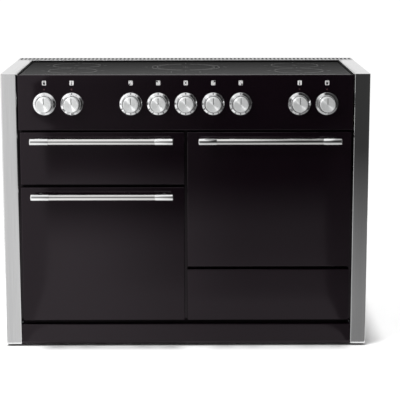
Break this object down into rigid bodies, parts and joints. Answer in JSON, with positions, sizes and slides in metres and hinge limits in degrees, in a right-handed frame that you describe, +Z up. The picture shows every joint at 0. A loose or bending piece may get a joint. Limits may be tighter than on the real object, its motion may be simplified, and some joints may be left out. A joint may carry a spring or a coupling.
{
  "type": "induction range",
  "caption": "Wide free-standing range: glass induction hob with rear vent rail, control panel with round knobs, pull-out grill, drop-down oven doors with bar handles and a storage drawer.",
  "frame": {"origin": "on the floor, at the middle of the footprint (feet and handles included)", "axes": "+Z up, the fronts face -Y, +X to the right as seen from the front"},
  "size_m": [1.21, 0.66, 0.92],
  "materials": {
    "black_enamel": "gloss enamel",
    "brushed_steel": "brushed",
    "polished_steel": "polished",
    "polished_handle": "polished",
    "spun_aluminium": "spun",
    "plated_steel": "zinc plated",
    "oven_enamel": "gloss enamel",
    "hob_glass": "gloss black glass ceramic",
    "seal_rubber": "matt",
    "copper_coil": "enamelled winding",
    "circuit_board": "matt",
    "mineral_wool": "fibrous",
    "heater_tube": "oxidised",
    "chromed_wire": "polished",
    "lamp_glass": "clear",
    "switch_plastic": "matt",
    "neon_lens": "gloss",
    "black_plastic": "matt"
  },
  "bodies": {
    "chassis": {"base_frame": "plated_steel", "side_panel_left": "brushed_steel", "side_panel_right": "brushed_steel", "back_panel": "plated_steel", "front_frame": "black_enamel", "control_panel": "black_enamel", "plinth": "black_enamel", "vent_rail": "brushed_steel", "hob_glass": "hob_glass", "glass_seal": "seal_rubber", "coil_tray": "plated_steel", "induction_coils": "copper_coil", "power_boards": "circuit_board", "blower_housing": "plated_steel", "grill_chamber": "oven_enamel", "oven_cavity_left": "oven_enamel", "oven_cavity_right": "oven_enamel", "drawer_housing": "plated_steel", "oven_insulation": "mineral_wool", "heating_elements": "heater_tube", "fan_baffles": "oven_enamel", "fan_motors": "plated_steel", "oven_shelves": "chromed_wire", "oven_lamps": "lamp_glass", "rotary_switches": "switch_plastic", "indicator_lamps": "neon_lens", "knob_bezels": "polished_steel", "door_seals": "seal_rubber", "terminal_box": "black_plastic", "runner_rails": "plated_steel"},
    "knob_1": {"knob_1": "spun_aluminium"},
    "knob_2": {"knob_2": "spun_aluminium"},
    "knob_3": {"knob_3": "spun_aluminium"},
    "knob_4": {"knob_4": "spun_aluminium"},
    "knob_5": {"knob_5": "spun_aluminium"},
    "knob_6": {"knob_6": "spun_aluminium"},
    "knob_7": {"knob_7": "spun_aluminium"},
    "knob_8": {"knob_8": "spun_aluminium"},
    "knob_9": {"knob_9": "spun_aluminium"},
    "left_door": {"left_door_panel": "black_enamel", "left_door_liner": "oven_enamel", "left_door_handle": "polished_handle"},
    "right_door": {"right_door_panel": "black_enamel", "right_door_liner": "oven_enamel", "right_door_handle": "polished_handle"},
    "grill_drawer": {"grill_front": "black_enamel", "grill_handle": "polished_handle", "grill_carriage": "plated_steel", "grill_pan": "oven_enamel"},
    "grill_middles": {"grill_runner_middles": "plated_steel"},
    "storage_drawer": {"storage_front": "black_enamel", "storage_box": "plated_steel"},
    "storage_middles": {"storage_runner_middles": "plated_steel"},
    "fan_left": {"oven_fan_left": "plated_steel"},
    "fan_right": {"oven_fan_right": "plated_steel"},
    "blower": {"blower_wheel": "black_plastic"},
    "foot_fl": {"foot_front_left": "black_plastic"},
    "foot_fr": {"foot_front_right": "black_plastic"},
    "foot_rl": {"foot_rear_left": "black_plastic"},
    "foot_rr": {"foot_rear_right": "black_plastic"}
  },
  "joints": [
    {"name": "knob_1_turn", "type": "hinge", "parent": "chassis", "child": "knob_1", "pos_m": [-0.463, -0.27, 0.822], "axis": [0, 1, 0], "continuous": true},
    {"name": "knob_2_turn", "type": "hinge", "parent": "chassis", "child": "knob_2", "pos_m": [-0.373, -0.27, 0.822], "axis": [0, 1, 0], "range_deg": [0, 290]},
    {"name": "knob_3_turn", "type": "hinge", "parent": "chassis", "child": "knob_3", "pos_m": [-0.18, -0.27, 0.822], "axis": [0, 1, 0], "range_deg": [0, 270]},
    {"name": "knob_4_turn", "type": "hinge", "parent": "chassis", "child": "knob_4", "pos_m": [-0.09, -0.27, 0.822], "axis": [0, 1, 0], "range_deg": [0, 270]},
    {"name": "knob_5_turn", "type": "hinge", "parent": "chassis", "child": "knob_5", "pos_m": [0, -0.27, 0.822], "axis": [0, 1, 0], "range_deg": [0, 270]},
    {"name": "knob_6_turn", "type": "hinge", "parent": "chassis", "child": "knob_6", "pos_m": [0.09, -0.27, 0.822], "axis": [0, 1, 0], "range_deg": [0, 270]},
    {"name": "knob_7_turn", "type": "hinge", "parent": "chassis", "child": "knob_7", "pos_m": [0.18, -0.27, 0.822], "axis": [0, 1, 0], "range_deg": [0, 270]},
    {"name": "knob_8_turn", "type": "hinge", "parent": "chassis", "child": "knob_8", "pos_m": [0.373, -0.27, 0.822], "axis": [0, 1, 0], "range_deg": [0, 290]},
    {"name": "knob_9_turn", "type": "hinge", "parent": "chassis", "child": "knob_9", "pos_m": [0.463, -0.27, 0.822], "axis": [0, 1, 0], "continuous": true},
    {"name": "left_door_hinge", "type": "hinge", "parent": "chassis", "child": "left_door", "pos_m": [-0.2755, -0.26, 0.1], "axis": [1, 0, 0], "range_deg": [0, 90]},
    {"name": "right_door_hinge", "type": "hinge", "parent": "chassis", "child": "right_door", "pos_m": [0.2755, -0.26, 0.284], "axis": [1, 0, 0], "range_deg": [0, 90]},
    {"name": "grill_slide", "type": "slide", "parent": "chassis", "child": "grill_drawer", "axis": [0, -1, 0], "range_m": [0, 0.34]},
    {"name": "grill_middles_slide", "type": "slide", "parent": "chassis", "child": "grill_middles", "axis": [0, -1, 0], "range_m": [0, 0.17]},
    {"name": "storage_slide", "type": "slide", "parent": "chassis", "child": "storage_drawer", "axis": [0, -1, 0], "range_m": [0, 0.38]},
    {"name": "storage_middles_slide", "type": "slide", "parent": "chassis", "child": "storage_middles", "axis": [0, -1, 0], "range_m": [0, 0.19]},
    {"name": "fan_left_spin", "type": "hinge", "parent": "chassis", "child": "fan_left", "pos_m": [-0.2755, 0.21, 0.317], "axis": [0, 1, 0], "continuous": true},
    {"name": "fan_right_spin", "type": "hinge", "parent": "chassis", "child": "fan_right", "pos_m": [0.2755, 0.21, 0.501], "axis": [0, 1, 0], "continuous": true},
    {"name": "blower_spin", "type": "hinge", "parent": "chassis", "child": "blower", "pos_m": [0, 0.06, 0.85], "axis": [0, 0, 1], "continuous": true},
    {"name": "foot_fl_height", "type": "slide", "parent": "chassis", "child": "foot_fl", "axis": [0, 0, -1], "range_m": [0, 0.02]},
    {"name": "foot_fr_height", "type": "slide", "parent": "chassis", "child": "foot_fr", "axis": [0, 0, -1], "range_m": [0, 0.02]},
    {"name": "foot_rl_height", "type": "slide", "parent": "chassis", "child": "foot_rl", "axis": [0, 0, -1], "range_m": [0, 0.02]},
    {"name": "foot_rr_height", "type": "slide", "parent": "chassis", "child": "foot_rr", "axis": [0, 0, -1], "range_m": [0, 0.02]}
  ],
  "couplings": [
    {"joint": "grill_middles_slide", "follows": "grill_slide", "ratio": 0.5},
    {"joint": "storage_middles_slide", "follows": "storage_slide", "ratio": 0.5}
  ]
}
